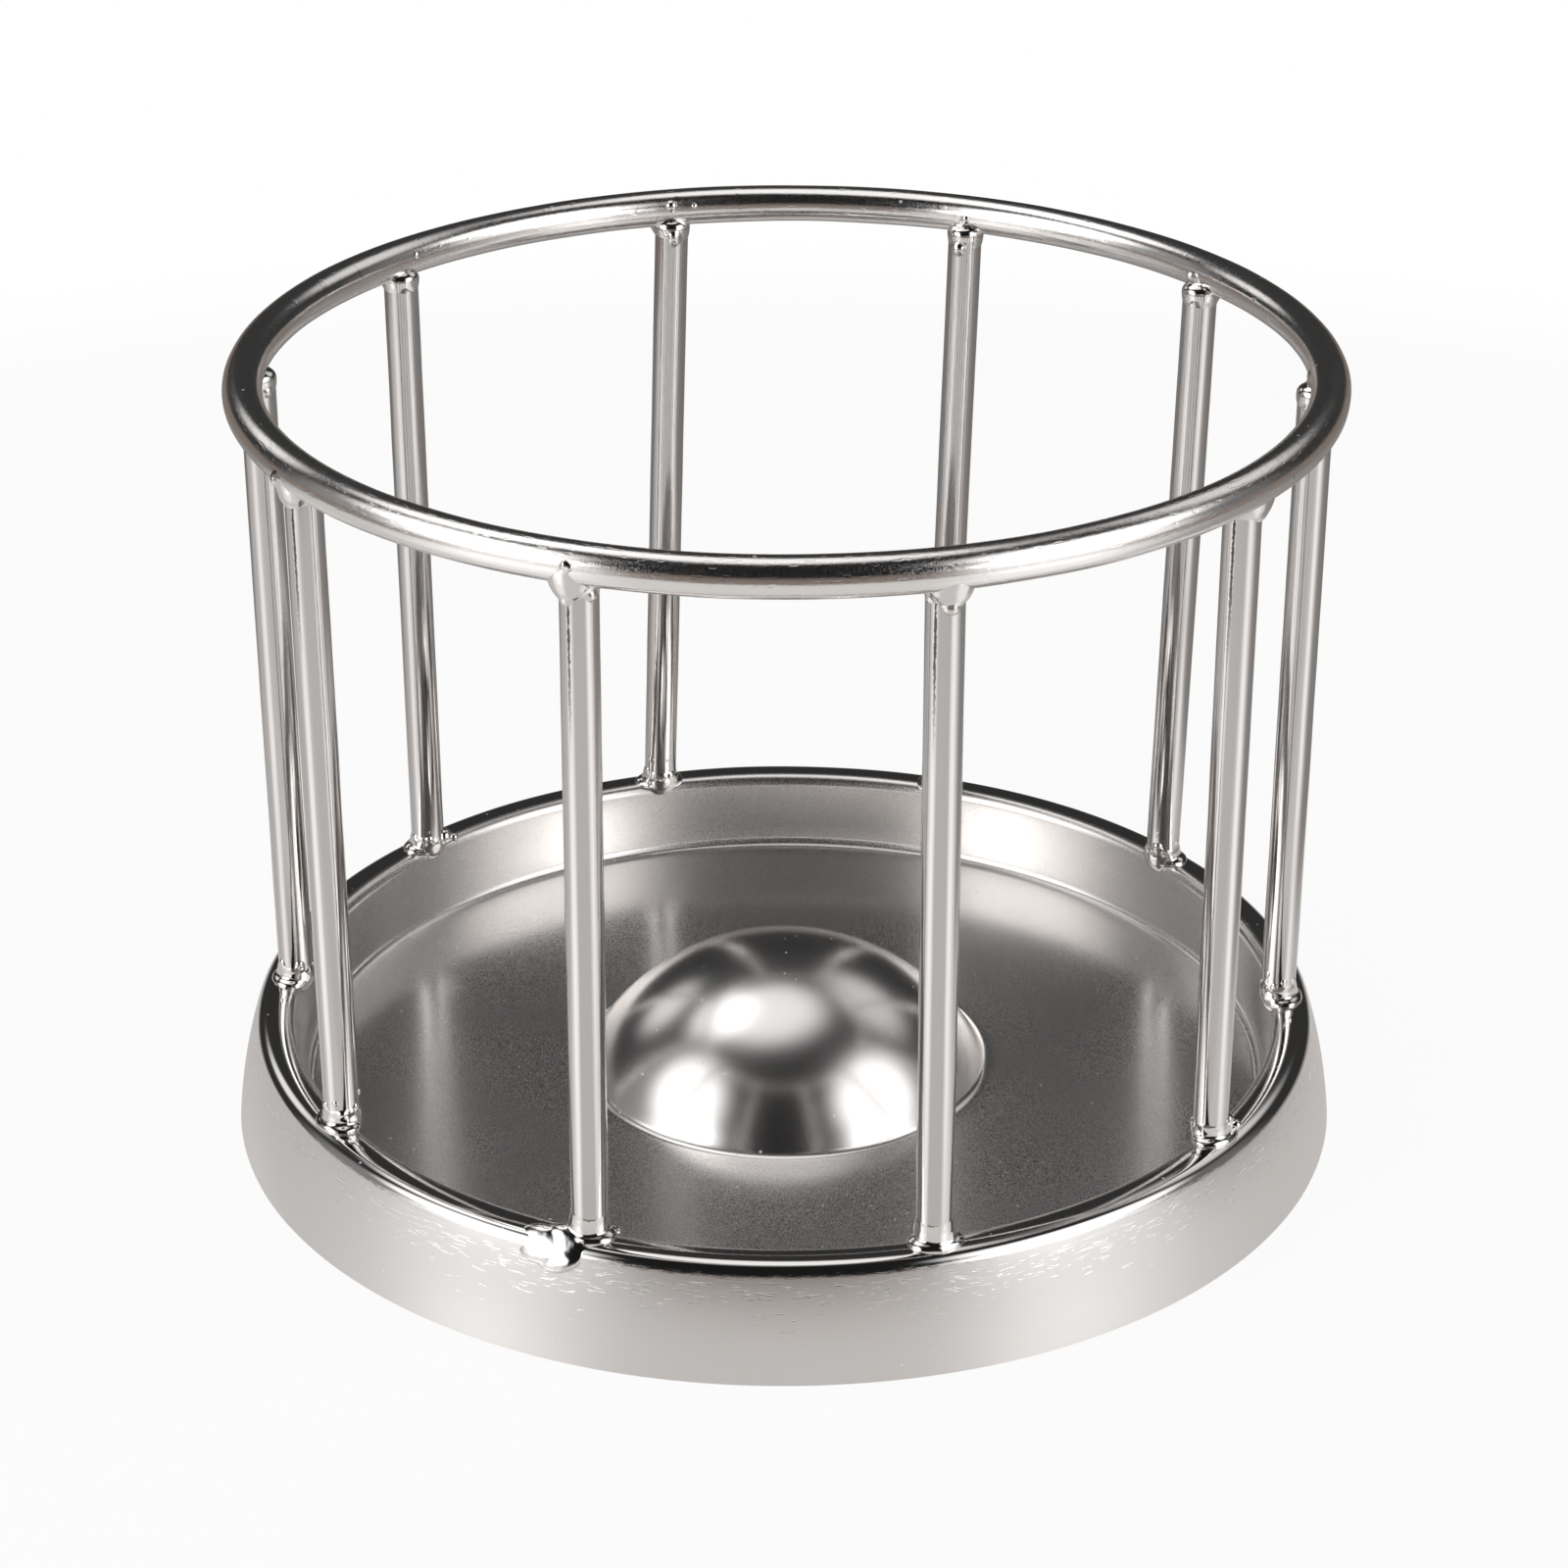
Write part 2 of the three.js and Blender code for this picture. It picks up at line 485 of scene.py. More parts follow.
def make_sheet_steel():
    material, tree, shader, place = steel("pressed_steel", SHEET_COLOUR)
    where = place_group(tree, round_coordinates, Place=place)
    marks = place_group(tree, fine_marks, Lines=scratch_lines(tree, place), Place=place,
                        Blotch_scale=140.0, Grain_scale=15000.0)
    zones = sheet_zones(tree, where["Radius"])
    outside = zones[0]
    height = plus(tree, where["Height"], centred(tree, marks["Blotch"], UNEVEN_LEVEL))
    ragged = plus(tree, height, centred(tree, marks["Scratch"], RAGGED_EDGE))
    polish = times(tree, spread(tree, ragged, POLISH_FROM, POLISH_TO), outside)
    grains = spread(tree, marks["Grain"], GRAIN_FROM, GRAIN_TO)
    matt = times(tree, grains, by_zone(tree, zones, MATT_GRAINS))
    satin = plus(tree, by_zone(tree, zones, SATIN), matt)
    dashes = skirt_scratches(tree, marks["Dash"], height, outside)
    dust = place_group(tree, specks, Place=place, Cell_scale=800.0, Share=0.2, Size=0.13)["Mask"]
    finish = blend(tree, dashes, blend(tree, polish, satin, POLISHED), SCRATCHED)
    tree.links.new(blend(tree, dust, finish, DUSTY), shader.inputs["Roughness"])
    # Painted glint: the scratches lighten the steel's colour, on top of their own roughness and bump.
    bare = blend_colour(tree, times(tree, dashes, PAINTED_GLINT_SHARE), SHEET_COLOUR, PAINTED_GLINT_COLOUR)
    tree.links.new(blend_colour(tree, dust, bare, SPECK_COLOUR), shader.inputs["Base Color"])
    rubbed = times(tree, marks["Scratch"], times(tree, outside, SKIRT_RUB))
    rubbed = times(tree, rubbed, blend(tree, polish, 1.0, POLISH_RUB))
    bump(tree, shader, minus(tree, rubbed, dashes), SHEET_BUMP)
    return material


sheet_steel = make_sheet_steel()
print("sheet material", sheet_steel.name)


# %% [markdown]
# ## Finish of the posts
# Drawn wire is smooth along its length, with faint marks from the die. On the front posts a thin
# ragged dark streak near the upper end is painted into the colour. It is a painted reflection of a
# dark edge, laid over a shallow groove in the bump. It runs along the wire and stays on one side of
# it, so it is placed by the cylinder's own UV map, where a post's side is the upper half of the map.

# %% Post material
POST_COLOUR = opaque(0.61, 0.591, 0.579)
# Colour of the painted reflection streak on the front posts.
PAINTED_REFLECTION_COLOUR = opaque(0.12, 0.11, 0.105)
DIE_MARKS = (2600.0, 2600.0, 26.0)
WIRE_BLOTCHES = 160.0
POST_SMOOTH = 0.06
POST_CLOUDS = 0.09
POST_GRAIN = 0.4
POST_BUMP = 0.006 * MM
STREAK_DULL = 0.45
STREAK_RAGGED = 0.03
STREAK_CORE, STREAK_BORDER = 0.008, 0.013
STREAK_FROM, STREAK_FULL = 0.86, 0.96
FRONT_END, FRONT_FULL = -15 * MM, -22 * MM


# Painted reflection: this is the mask of a dark streak painted into the wire's colour on the front
# posts. The same mask also dulls the roughness and cuts a shallow groove in the bump.
def painted_streak_mask(tree, place, grain, streak_at):
    across, up, _ = separate(tree, add_node(tree, "ShaderNodeTexCoord").outputs["UV"])
    beside = math_node(tree, "ABSOLUTE", minus(tree, across, streak_at))
    beside = plus(tree, beside, centred(tree, grain, STREAK_RAGGED))
    near = spread(tree, beside, STREAK_CORE, STREAK_BORDER, 1.0, 0.0)
    upper = spread(tree, up, STREAK_FROM, STREAK_FULL)
    in_front = spread(tree, separate(tree, place)["Y"], FRONT_FULL, FRONT_END, 1.0, 0.0)
    return times(tree, times(tree, near, upper), in_front)


def make_post_steel(streak_at):
    material, tree, shader, place = steel("drawn_wire", POST_COLOUR)
    stretch = add_node(tree, "ShaderNodeMapping")
    stretch.inputs["Scale"].default_value = DIE_MARKS
    tree.links.new(place, stretch.inputs["Vector"])
    marks = place_group(tree, fine_marks, Lines=stretch.outputs[0], Place=place,
                        Blotch_scale=WIRE_BLOTCHES)
    painted_streak = painted_streak_mask(tree, place, marks["Grain"], streak_at)
    rough = plus(tree, POST_SMOOTH, times(tree, marks["Blotch"], POST_CLOUDS))
    tree.links.new(blend(tree, painted_streak, rough, STREAK_DULL), shader.inputs["Roughness"])
    # The dark streak in the colour is a painted reflection.
    colour = blend_colour(tree, painted_streak, POST_COLOUR, PAINTED_REFLECTION_COLOUR)
    tree.links.new(colour, shader.inputs["Base Color"])
    relief = plus(tree, marks["Scratch"], times(tree, marks["Grain"], POST_GRAIN))
    bump(tree, shader, minus(tree, relief, painted_streak), POST_BUMP)
    return material


# %% [markdown]
# ## Finish of the ring
# Rolling the wire to a circle turned its marks along the circle, roughened it a little and left
# small nicks. The groups are the same as on the sheet, with values of the ring's own.

# %% Ring material
RING_COLOUR = opaque(0.83, 0.805, 0.788)
RING_GRAIN_FROM, RING_GRAIN_TO = 0.42, 0.58
RING_SMOOTH, RING_ROUGH = 0.10, 0.22
RING_DASH_FROM, RING_DASH_TO = 0.60, 0.70
NICKED = 0.5
RING_GRAIN = 0.4
RING_BUMP = 0.009 * MM


def make_ring_steel():
    material, tree, shader, place = steel("bent_wire", RING_COLOUR)
    marks_at = place_group(tree, round_coordinates, Place=place, Turn_scale=60.0, Line_scale=4200.0)
    marks = place_group(tree, fine_marks, Lines=marks_at["Lines"], Place=place,
                        Blotch_scale=WIRE_BLOTCHES, Grain_scale=6500.0)
    finish = spread(tree, marks["Grain"], RING_GRAIN_FROM, RING_GRAIN_TO, RING_SMOOTH, RING_ROUGH)
    nicks = place_group(tree, specks, Place=place, Cell_scale=700.0, Share=0.2, Size=0.16)["Mask"]
    tree.links.new(blend(tree, nicks, finish, NICKED), shader.inputs["Roughness"])
    colour = blend_colour(tree, nicks, RING_COLOUR, SPECK_COLOUR)
    tree.links.new(colour, shader.inputs["Base Color"])
    dashes = spread(tree, marks["Dash"], RING_DASH_FROM, RING_DASH_TO)
    rubbed = plus(tree, times(tree, marks["Grain"], RING_GRAIN), marks["Scratch"])
    bump(tree, shader, minus(tree, rubbed, dashes), RING_BUMP)
    return material


ring_steel = make_ring_steel()
print("ring material", ring_steel.name)

# %% [markdown]
# ## Finish of the welds
# A weld froze from melt, so it is the smoothest and brightest metal on the dish. Only soft clouds
# change its roughness, and a faint grain breaks up its highlights.

# %% Weld material
WELD_COLOUR = opaque(0.74, 0.72, 0.705)
WELD_SMOOTH = 0.03
WELD_CLOUDS = 0.08
WELD_BUMP = 0.006 * MM


def make_weld_steel():
    material, tree, shader, place = steel("weld_metal", WELD_COLOUR)
    marks = place_group(tree, fine_marks, Lines=place, Place=place, Blotch_scale=900.0)
    rough = plus(tree, WELD_SMOOTH, times(tree, marks["Blotch"], WELD_CLOUDS))
    tree.links.new(rough, shader.inputs["Roughness"])
    bump(tree, shader, marks["Grain"], WELD_BUMP)
    return material


weld_steel = make_weld_steel()
print("weld material", weld_steel.name)

# %% [markdown]
# ## The pressed dish
# A press forms the whole dish from one disc. It could be cut from a thick block, but a sheet keeps
# its thickness round every bend, so here a profile is spun round the axis. A plane is merged to one
# point, the point is extruded along the outline, and Spin turns the line into a skin. Solidify then
# gives the skin its thickness downwards.

# %% Round and straight stretches
QUARTER = math.pi / 2


def arc(centre, radius, start, end, steps):
    for step in range(steps + 1):
        angle = start + (end - start) * step / steps
        yield Vector((centre.x + radius * math.cos(angle), 0, centre.z + radius * math.sin(angle)))


def straight(start, end, steps):
    for step in range(1, steps):
        yield start.lerp(end, step / steps)


# %% [markdown]
# The outline has three stretches: the dome with its fillet, the wall with its corner and its roll,
# and the shoulder with the skirt. The flat floor joins the first two, and the crown joins the last
# two. Each bend meets the next one at a tangent, so the skin has no crease.

# %% Outline of the dome
DOME_STEPS = 28
FILLET_STEPS = 8


def dome_line():
    dome_height = dome_top - FLOOR_HEIGHT
    ball_radius = (DOME_RADIUS ** 2 + dome_height ** 2) / (2 * dome_height) - DOME_FILLET
    centre = Vector((0, 0, dome_top - ball_radius))
    foot_centre = Vector((DOME_RADIUS, 0, FLOOR_HEIGHT + DOME_FILLET))
    tangent = math.atan2(foot_centre.z - centre.z, DOME_RADIUS)
    dome = list(arc(centre, ball_radius, QUARTER, tangent, DOME_STEPS))
    dome[0].x = 0.0
    foot = list(arc(foot_centre, DOME_FILLET, tangent + math.pi, 3 * QUARTER, FILLET_STEPS))
    return [*dome, *foot[1:]]


# %% Outline of the inner wall
WALL_STEPS = 4
ROLL_STEPS = 12


def wall_line():
    leaning = rim_height - RIM_ROLL - FLOOR_HEIGHT - FLOOR_FILLET
    corner_radius = wall_radius - leaning * math.tan(WALL_DRAFT) - FLOOR_FILLET
    corner_centre = Vector((corner_radius, 0, FLOOR_HEIGHT + FLOOR_FILLET))
    corner = list(arc(corner_centre, FLOOR_FILLET, -QUARTER, -WALL_DRAFT, FILLET_STEPS))
    rim_centre = Vector((cage_radius - CROWN / 2, 0, rim_height - RIM_ROLL))
    roll = list(arc(rim_centre, RIM_ROLL, 2 * QUARTER - WALL_DRAFT, QUARTER + CROWN_TILT, ROLL_STEPS))
    return [*corner, *straight(corner[-1], roll[0], WALL_STEPS), *roll]


# %% Outline of the shoulder and the skirt
SHOULDER_STEPS = 14
SKIRT_STEPS = 10


def skirt_line():
    centre = Vector((cage_radius + CROWN / 2, 0, rim_height - SHOULDER_ROLL))
    to_end = Vector((skirt_radius, 0, 0)) - centre
    reach = SKIRT_CURVE - SHOULDER_ROLL
    across = to_end.length_squared + reach ** 2 - SKIRT_CURVE ** 2
    turn = math.acos(across / (2 * to_end.length * reach))
    tangent = math.atan2(to_end.z, to_end.x) - turn + math.pi
    skirt_centre = centre - Vector((math.cos(tangent), 0, math.sin(tangent))) * reach
    table_angle = -math.asin(skirt_centre.z / SKIRT_CURVE)
    shoulder = list(arc(centre, SHOULDER_ROLL, QUARTER - CROWN_TILT, tangent, SHOULDER_STEPS))
    skirt = list(arc(skirt_centre, SKIRT_CURVE, tangent, table_angle, SKIRT_STEPS))
    return [*shoulder, *skirt[1:]]


# %% Outline of the whole sheet
FLOOR_STEPS = 14
CROWN_STEPS = 6


def crown_line(start, end):
    half = (end - start) / 2
    bend = half.x / math.sin(CROWN_TILT)
    centre = start + half - Vector((0, 0, bend * math.cos(CROWN_TILT)))
    crown = list(arc(centre, bend, QUARTER + CROWN_TILT, QUARTER - CROWN_TILT, CROWN_STEPS))
    return crown[1:-1]


def sheet_outline():
    dome = dome_line()
    wall = wall_line()
    skirt = skirt_line()
    floor = straight(dome[-1], wall[0], FLOOR_STEPS)
    return [*dome, *floor, *wall, *crown_line(wall[-1], skirt[0]), *skirt]


outline = sheet_outline()
print("outline points", len(outline))

# %% Spin the skin
SPIN_STEPS = 240
MERGE_DISTANCE = 1e-7


def line_of_points(points):
    clear_selection()
    bpy.ops.mesh.primitive_plane_add(size=MM)
    line = bpy.context.object
    edit(line)
    bpy.ops.mesh.merge(type="CENTER")
    bpy.ops.transform.translate(value=points[0])
    for here, there in zip(points, points[1:]):
        bpy.ops.mesh.extrude_vertices_move(TRANSFORM_OT_translate={"value": there - here})
    leave_edit()
    return line


dish = line_of_points(outline)
edit(dish)
bpy.ops.mesh.spin(steps=SPIN_STEPS, angle=2 * math.pi, center=(0, 0, 0), axis=(0, 0, 1))
bpy.ops.mesh.select_all(action="SELECT")
bpy.ops.mesh.remove_doubles(threshold=MERGE_DISTANCE)
bpy.ops.mesh.normals_make_consistent(inside=False)
leave_edit()
floor_face = max(dish.data.polygons, key=lambda face: face.area)
if floor_face.normal.z < 0:
    edit(dish)
    bpy.ops.mesh.flip_normals()
    leave_edit()
print("skin faces", len(dish.data.polygons))

# %% [markdown]
# No pressed sheet is perfectly even, and bright metal shows it. A cloud texture moves the skin by a
# twentieth of a millimetre each way, before Solidify gives both sides the same waves. The ring and
# the posts get such waves too.

# %% Thickness and slight unevenness
SHARP_EDGE = math.radians(40)
SHEET_WAVE_LENGTH, SHEET_WAVE = 22 * MM, 0.10 * MM


def make_wavy(piece, name, length, strength):
    texture = bpy.data.textures.new(name, "CLOUDS")
    texture.noise_scale = length
    texture.noise_depth = 1
    apply_modifier(piece, "DISPLACE", texture=texture, strength=strength, mid_level=0.5)


def shade_between_edges(piece):
    only(piece)
    bpy.ops.object.shade_smooth_by_angle(angle=SHARP_EDGE)


make_wavy(dish, "sheet_wave", SHEET_WAVE_LENGTH, SHEET_WAVE)
apply_modifier(dish, "SOLIDIFY", thickness=SHEET, offset=-1.0, use_even_offset=True)
shade_between_edges(dish)
finish_piece(dish, "pressed_dish", "dish", sheet_steel)
print("dish faces", len(dish.data.polygons))

# %% [markdown]
# ## The top ring
# One length of wire rolled to a circle. A curve with a round bevel could make it, but the torus
# primitive already is a perfect ring, and a faint wave along it gives the slight unevenness of a
# ring that was rolled and fitted by hand. It sits a quarter of a millimetre to the right.

# %% Ring
RING_SHIFT = 0.26 * MM
RING_SEGMENTS = 288
WIRE_SEGMENTS = 48
RING_WAVE_LENGTH, RING_WAVE = 12 * MM, 0.10 * MM


def shade_all_round(piece):
    only(piece)
    bpy.ops.object.shade_smooth()


clear_selection()
bpy.ops.mesh.primitive_torus_add(
    major_radius=cage_radius, minor_radius=ring_wire_radius, major_segments=RING_SEGMENTS,
    minor_segments=WIRE_SEGMENTS, location=(RING_SHIFT, 0, ring_level),
)
ring = bpy.context.object
settle(ring)
make_wavy(ring, "ring_wave", RING_WAVE_LENGTH, RING_WAVE)
shade_all_round(ring)
finish_piece(ring, "wire_ring", "top_ring", ring_steel)
print("ring faces", len(ring.data.polygons))

# %% [markdown]
# ## The posts
# Ten straight lengths of wire, cut square. One is modelled as a cylinder and copied. The posts were
# set and welded by hand, a little inside the ring's middle, and a foot or head strays from the even
# pattern by up to 2.3 degrees. So a copy's two ends are moved apart to their own places. A row of
# the list has the stray of the foot and of the head in degrees, and how far each of them stands
# inside the ring's middle in millimetres.

# %% Places of the posts
FIRST_ANGLE = math.radians(-20.4)
STRAY = [
    (-0.3, 0.25, 1.1, 0.9), (0.2, 0.1, 1.1, 0.9), (2.3, 2.1, 1.1, 0.9), (0.0, 0.0, 1.3, 0.95),
    (1.9, -0.2, 1.1, 0.9), (0.15, -1.85, 1.1, 0.9), (0.5, -2.0, 1.1, 0.9), (-1.2, -0.75, 1.1, 0.9),
    (0.0, 0.0, 1.5, 0.95), (-1.0, -2.0, 1.1, 0.9),
]


def round_the_cage(angle, radius):
    return Vector((radius * math.sin(angle), -radius * math.cos(angle), 0))


post_places = []
for number, (foot_stray, head_stray, foot_in, head_in) in enumerate(STRAY):
    even = FIRST_ANGLE + 2 * math.pi * number / len(STRAY)
    foot = round_the_cage(even + math.radians(foot_stray), cage_radius - foot_in * MM)
    head = round_the_cage(even + math.radians(head_stray), cage_radius - head_in * MM)
    post_places.append((foot, head))
print("posts placed", len(post_places))

# %% A post to copy
POST_WIRE_RADIUS = 1.85 * MM
SUNK_IN_RIM = 0.2 * MM
SUNK_IN_RING = 0.6 * MM


def model_post():
    bottom = rim_height - SUNK_IN_RIM
    top = ring_underside + SUNK_IN_RING
    clear_selection()
    bpy.ops.mesh.primitive_cylinder_add(
        vertices=WIRE_SEGMENTS, radius=POST_WIRE_RADIUS, depth=top - bottom,
        location=(0, 0, (top + bottom) / 2),
    )
    post = bpy.context.object
    settle(post)
    return post


# %% Where the painted reflection streak runs
STREAK_SIDE = Vector((-0.45, -0.89))
SIDE_OF_MAP = 0.55


def streak_place(post):
    mesh = post.data
    on_side = [(loop, spot.uv) for loop, spot in zip(mesh.loops, mesh.uv_layers.active.data)
               if spot.uv.y > SIDE_OF_MAP]
    _, spot = max(on_side, key=lambda pair: mesh.vertices[pair[0].vertex_index].co.xy.dot(STREAK_SIDE))
    return spot.x


master_post = model_post()
post_steel = make_post_steel(streak_place(master_post))
print("post material", post_steel.name)

# %% [markdown]
# To move one end of a post, its points are selected by their height and translated. Its long edges
# are then cut into many short ones, so that the wire can take its faint wave.

# %% Shape and place the posts
POST_RINGS = 60
POST_WAVE_LENGTH, POST_WAVE = 9 * MM, 0.05 * MM


def edit_chosen(piece, mode, test):
    edit(piece, mode)
    bpy.ops.mesh.select_all(action="DESELECT")
    leave_edit()
    for part in piece.data.edges if mode == "EDGE" else piece.data.vertices:
        part.select = test(part)
    bpy.ops.object.mode_set(mode="EDIT")


def lean(post, foot, head):
    middle = (rim_height + ring_underside) / 2
    ends = (
        (foot, lambda point: point.co.z < middle),
        (head, lambda point: point.co.z > middle),
    )
    for shift, at_end in ends:
        edit_chosen(post, "VERT", at_end)
        bpy.ops.transform.translate(value=shift)
        leave_edit()


def cut_along(post):
    def is_long(edge):
        first, second = (post.data.vertices[index].co for index in edge.vertices)
        return abs(first.z - second.z) > POST_WIRE_RADIUS

    edit_chosen(post, "EDGE", is_long)
    bpy.ops.mesh.subdivide(number_cuts=POST_RINGS)
    leave_edit()


for name, (foot, head) in zip(post_names, post_places):
    post = master_post.copy()
    post.data = master_post.data.copy()
    bpy.context.scene.collection.objects.link(post)
    lean(post, foot, head)
    cut_along(post)
    make_wavy(post, name + "_wave", POST_WAVE_LENGTH, POST_WAVE)
    shade_between_edges(post)
    finish_piece(post, name.replace("post", "wire_post"), name, post_steel)
bpy.data.objects.remove(master_post)
print("posts made", len(post_names))

# %% [markdown]
# ## The welds
# A weld is metal that ran and froze. It could be sculpted, but the melt itself shows an easier way:
# each weld is built from a few balls that are stretched or pressed flat, one to hug the ring or the
# rim, one to thin out along the post, and small ones for its lobes and drops. Voxel remesh fuses
# them and Smooth lets them flow together, as the melt did. Places and sizes are in millimetres.

# %% Weld lumps
BALL_SEGMENTS = 32
BALL_RINGS = 16
ABOVE_MIDDLE = 0.01 * MM


def ball(place, size, turn=(0, 0, 0)):
    bpy.ops.mesh.primitive_uv_sphere_add(
        segments=BALL_SEGMENTS, ring_count=BALL_RINGS, radius=MM, location=Vector(place) * MM,
        rotation=turn, scale=size,
    )
    return bpy.context.object


def press_flat(lump, share):
    middle = lump.location.copy()
    settle(lump)
    edit_chosen(lump, "VERT", lambda point: point.co.z > middle.z + ABOVE_MIDDLE)
    bpy.ops.transform.resize(value=(1, 1, share), center_override=middle)
    leave_edit()
    return lump


# %% Melt the lumps together
VOXEL = 0.13 * MM
MELT_SMOOTH = 0.5
RIPPLE_LENGTH = 1.6 * MM


def melt(lumps, name, flow, ripple):
    clear_selection()
    for lump in lumps:
        lump.select_set(True)
    bead = lumps[0]
    bpy.context.view_layer.objects.active = bead
    bpy.ops.object.join()
    settle(bead)
    apply_modifier(bead, "REMESH", mode="VOXEL", voxel_size=VOXEL)
    apply_modifier(bead, "SMOOTH", factor=MELT_SMOOTH, iterations=flow)
    make_wavy(bead, name, RIPPLE_LENGTH, ripple)
    shade_all_round(bead)
    return bead


# %% [markdown]
# ### Lobes on a post
# What shows of a weld are its lobes and drops on the side towards the viewer. Each is listed by how
# far it sits across the post, its height from the seat, its width and its tallness. Behind the post
# nobody counts them, so a few are strewn there by seeded chance.

# %% Lobe helpers
BACK_FROM, BACK_TO = 0.25 * math.pi, 0.75 * math.pi
BACK_SMALL, BACK_LARGE = 0.55, 0.9


def front_lobes(centre, seat, lobes, reach):
    lumps = []
    for across, height, width, tall in lobes:
        depth = math.sqrt(max(reach ** 2 - across ** 2, 0.0))
        place = (centre.x + across, centre.y - depth, seat + height)
        lumps.append(ball(place, (width, width, tall)))
    return lumps


def back_lobes(centre, seat, low, high, count, reach):
    lumps = []
    for _ in range(count):
        turn = random.uniform(BACK_FROM, BACK_TO)
        size = random.uniform(BACK_SMALL, BACK_LARGE)
        place = centre + Vector((math.cos(turn), math.sin(turn), 0)) * reach
        place.z = seat + random.uniform(low, high)
        lumps.append(ball(place, (size, size, size)))
    return lumps


def cage_directions(place):
    angle = math.atan2(place.x, -place.y)
    along = Vector((math.cos(angle), math.sin(angle), 0))
    outward = Vector((math.sin(angle), -math.cos(angle), 0))
    return angle, along, outward


# %% [markdown]
# ### Top welds
# A web of melt hugs the underside of the ring, more to one side than to the other, and a neck runs a
# couple of millimetres down the post. Both are balls whose upper halves are pressed flat, so that
# they end inside the ring. The melt gathers in one or two round drops at the lower lip. On some
# posts it also climbed the ring: these lumps are listed along the ring, outwards from its middle
# and up, with their size.

# %% Shapes of the top welds
TOP_LOBES = [
    [(-0.95, -1.35, 0.85, 0.85), (0.95, -1.0, 0.75, 0.8)],
    [(0.45, -1.5, 0.95, 0.9), (-1.2, -0.9, 0.65, 0.7)],
    [(1.2, -0.9, 0.7, 0.8)],
    [(-0.8, -0.9, 0.7, 0.7), (1.0, -0.7, 0.8, 0.8)],
    [],
    [(-0.7, -1.3, 0.95, 0.95)],
    [(0.2, -0.8, 0.9, 1.2)],
    [],
    [(0.9, -0.9, 0.75, 0.8)],
    [(-0.75, -0.5, 0.8, 0.95), (0.8, -0.4, 0.8, 0.8)],
]
WEB_SIDES = [-0.45, 0.2, 0.4, 0.2, 0.2, 0.2, 0.2, -0.2, -0.2, 0.1]
WEB_WIDTHS = [2.4, 2.5, 2.4, 2.3, 2.3, 2.4, 2.4, 2.3, 2.3, 2.3]
RING_LUMPS = [
    [(-0.2, 1.75, 0.45, 0.5), (0.3, 1.85, 0.3, 0.38)],
    [],
    [(4.0, 1.6, -0.1, 0.62)],
    [],
    [(0.8, -1.75, -0.2, 0.5)],
    [(-0.3, -1.65, 0.0, 0.55)],
    [(0.2, -1.65, 0.6, 0.75), (-2.4, -1.75, 0.5, 0.5)],
    [(-1.5, -1.75, 0.5, 0.65)],
    [],
    [(-0.4, 1.6, -0.6, 0.7)],
]

# %% Top welds
WEB_UP, WEB_DEEP, WEB_TALL, WEB_PRESSED = 1.9, 1.97, 3.9, 0.3
NECK_UP, NECK_WIDE, NECK_TALL, NECK_PRESSED = 0.2, 2.03, 3.2, 0.35
TOP_FRONT_REACH, TOP_BACK_REACH = 1.4, 1.35
TOP_BACK_LOW, TOP_BACK_HIGH, TOP_BACK_COUNT = -1.2, -0.2, 3
LUMP_DEPTH = 0.9
TOP_FLOW = 9
TOP_RIPPLE = 0.10 * MM


def top_weld_lumps(head, lobes, climbs, web_side, web_width):
    centre = head / MM
    seat = ring_underside / MM
    angle, along, outward = cage_directions(head)
    middle = outward * (cage_radius / MM)
    web = middle + along * web_side
    web_size = (web_width, WEB_DEEP, WEB_TALL)
    neck_size = (NECK_WIDE, NECK_WIDE, NECK_TALL)
    lumps = [
        press_flat(ball((web.x, web.y, seat + WEB_UP), web_size, (0, 0, angle)), WEB_PRESSED),
        press_flat(ball((centre.x, centre.y, seat + NECK_UP), neck_size), NECK_PRESSED),
        *front_lobes(centre, seat, lobes, TOP_FRONT_REACH),
        *back_lobes(centre, seat, TOP_BACK_LOW, TOP_BACK_HIGH, TOP_BACK_COUNT, TOP_BACK_REACH),
    ]
    for ahead, out, up, size in climbs:
        place = middle + along * ahead + outward * out
        place.z = ring_level / MM + up
        lumps.append(ball(place, (size, size * LUMP_DEPTH, size), (0, 0, angle)))
    return lumps


random.seed(11)
shapes = zip(TOP_LOBES, RING_LUMPS, WEB_SIDES, WEB_WIDTHS)
for name, (_, head), shape in zip(post_names, post_places, shapes):
    bead = melt(top_weld_lumps(head, *shape), name + "_top_skin", TOP_FLOW, TOP_RIPPLE)
    node = name.replace("post", "top_weld")
    finish_piece(bead, name.replace("post", "top_bead"), node, weld_steel)
print("top welds made", len(post_names))

# %% [markdown]
# ### Foot welds
# At the rim the melt stands in a collar round the post and thins out along the crown in a low mound,
# with small lobes and balls up to four millimetres over the rim. At the first post it ran out over
# the shoulder in a broad smear with spatter beside it. The smear is listed along the rim, outwards
# and up from the post's foot, with its three half sizes and its tilt down the skirt.

